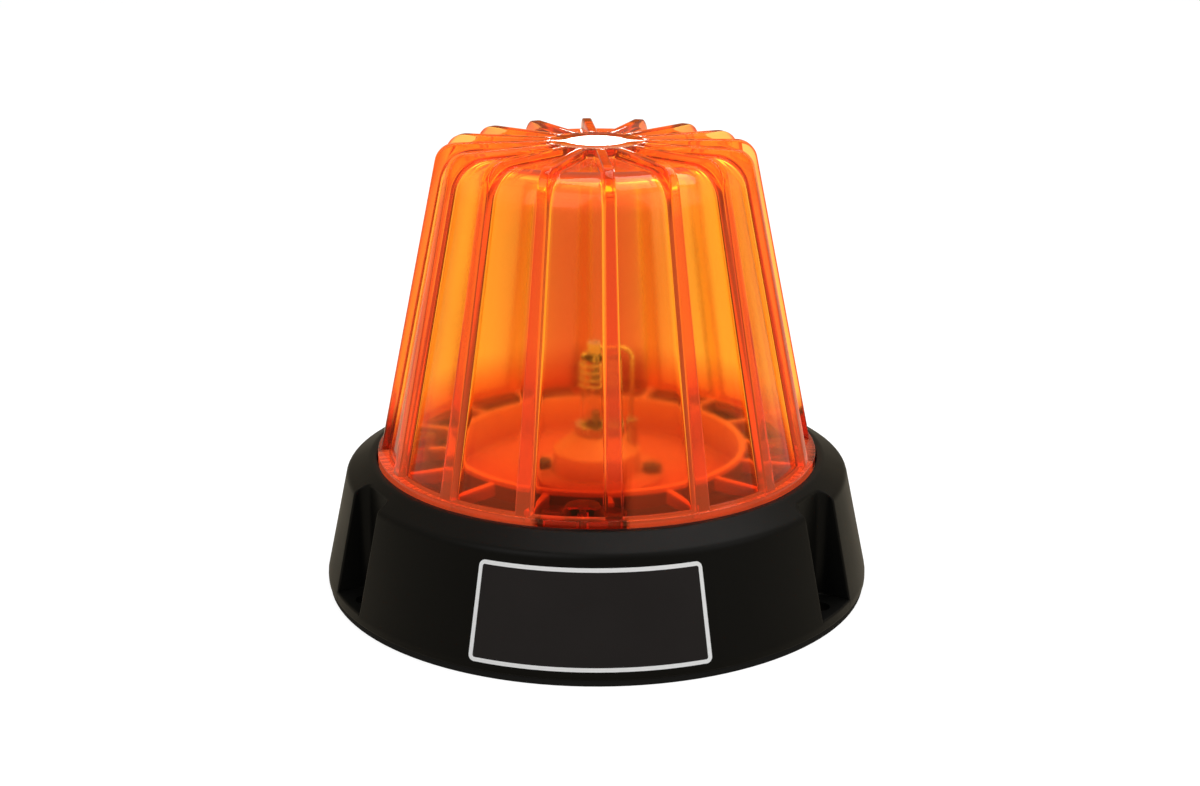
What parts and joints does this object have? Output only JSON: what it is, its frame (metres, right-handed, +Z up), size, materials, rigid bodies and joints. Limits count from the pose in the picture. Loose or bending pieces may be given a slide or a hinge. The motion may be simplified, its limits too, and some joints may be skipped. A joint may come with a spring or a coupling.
{
  "type": "strobe beacon",
  "caption": "Tapered ribbed amber lens over a spoked tray and plug-in flash tube, on a round black base with screw channels; warns people near machines and vehicles.",
  "frame": {"origin": "centre of the gasket's underside, on the surface that the beacon is screwed to", "axes": "+Z up along the lens, -Y towards the bare label on the front of the base"},
  "size_m": [0.16, 0.16, 0.13],
  "materials": {
    "gasket_rubber": "matt moulded rubber",
    "black_housing": "fine satin moulded texture",
    "label_film": "satin printed film with a white border, bare of text",
    "black_cover": "matt moulded texture",
    "screw_steel": "zinc plated",
    "grommet_rubber": "matt moulded rubber",
    "amber_lens": "clear moulded amber polycarbonate",
    "seal_silicone": "matt orange silicone",
    "tray_plastic": "satin moulded orange",
    "socket_ceramic": "satin, fired clay colour",
    "black_screw": "black oxide",
    "contact_brass": "plain brass",
    "lead_sleeving": "silicone sleeving",
    "nickel_plate": "bright nickel",
    "board_laminate": "solder resist on glass fibre",
    "capacitor_sleeve": "shrink sleeve",
    "ferrite": "sintered, matt",
    "copper_winding": "enamelled copper",
    "potting_black": "potting compound",
    "sink_aluminium": "as rolled",
    "chip_epoxy": "moulded epoxy",
    "terminal_plastic": "moulded",
    "resistor_body": "lacquered",
    "quartz_glass": "clear quartz",
    "tungsten": "drawn"
  },
  "bodies": {
    "base": {"mounting_gasket": "gasket_rubber", "base_housing": "black_housing", "rating_label": "label_film", "bottom_cover": "black_cover", "cover_screws": "screw_steel", "lens_screws": "screw_steel", "cable_grommet": "grommet_rubber", "lens_seal": "seal_silicone", "reflector_tray": "tray_plastic", "tube_socket": "socket_ceramic", "socket_screws": "black_screw", "socket_contacts": "contact_brass", "socket_leads": "lead_sleeving", "lead_terminal": "nickel_plate", "circuit_board": "board_laminate", "board_standoffs": "contact_brass", "board_screws": "screw_steel", "storage_capacitor": "capacitor_sleeve", "transformer_core": "ferrite", "transformer_winding": "copper_winding", "trigger_transformer": "potting_black", "heat_sink": "sink_aluminium", "power_transistor": "chip_epoxy", "heat_sink_screw": "screw_steel", "terminal_block": "terminal_plastic", "timing_chip": "chip_epoxy", "resistors": "resistor_body", "diodes": "chip_epoxy"},
    "lens": {"lens": "amber_lens"},
    "flash_tube": {"tube_cap": "nickel_plate", "tube_pins": "contact_brass", "tube_glass": "quartz_glass", "lower_electrode": "tungsten", "upper_electrode": "tungsten", "tube_top_cap": "nickel_plate", "return_lead": "nickel_plate", "trigger_wire": "nickel_plate"}
  },
  "joints": [
    {"name": "lens_lift", "type": "slide", "parent": "base", "child": "lens", "axis": [0, 0, 1], "range_m": [0, 0.11]},
    {"name": "tube_unplug", "type": "slide", "parent": "base", "child": "flash_tube", "axis": [0, 0, 1], "range_m": [0, 0.03]}
  ]
}
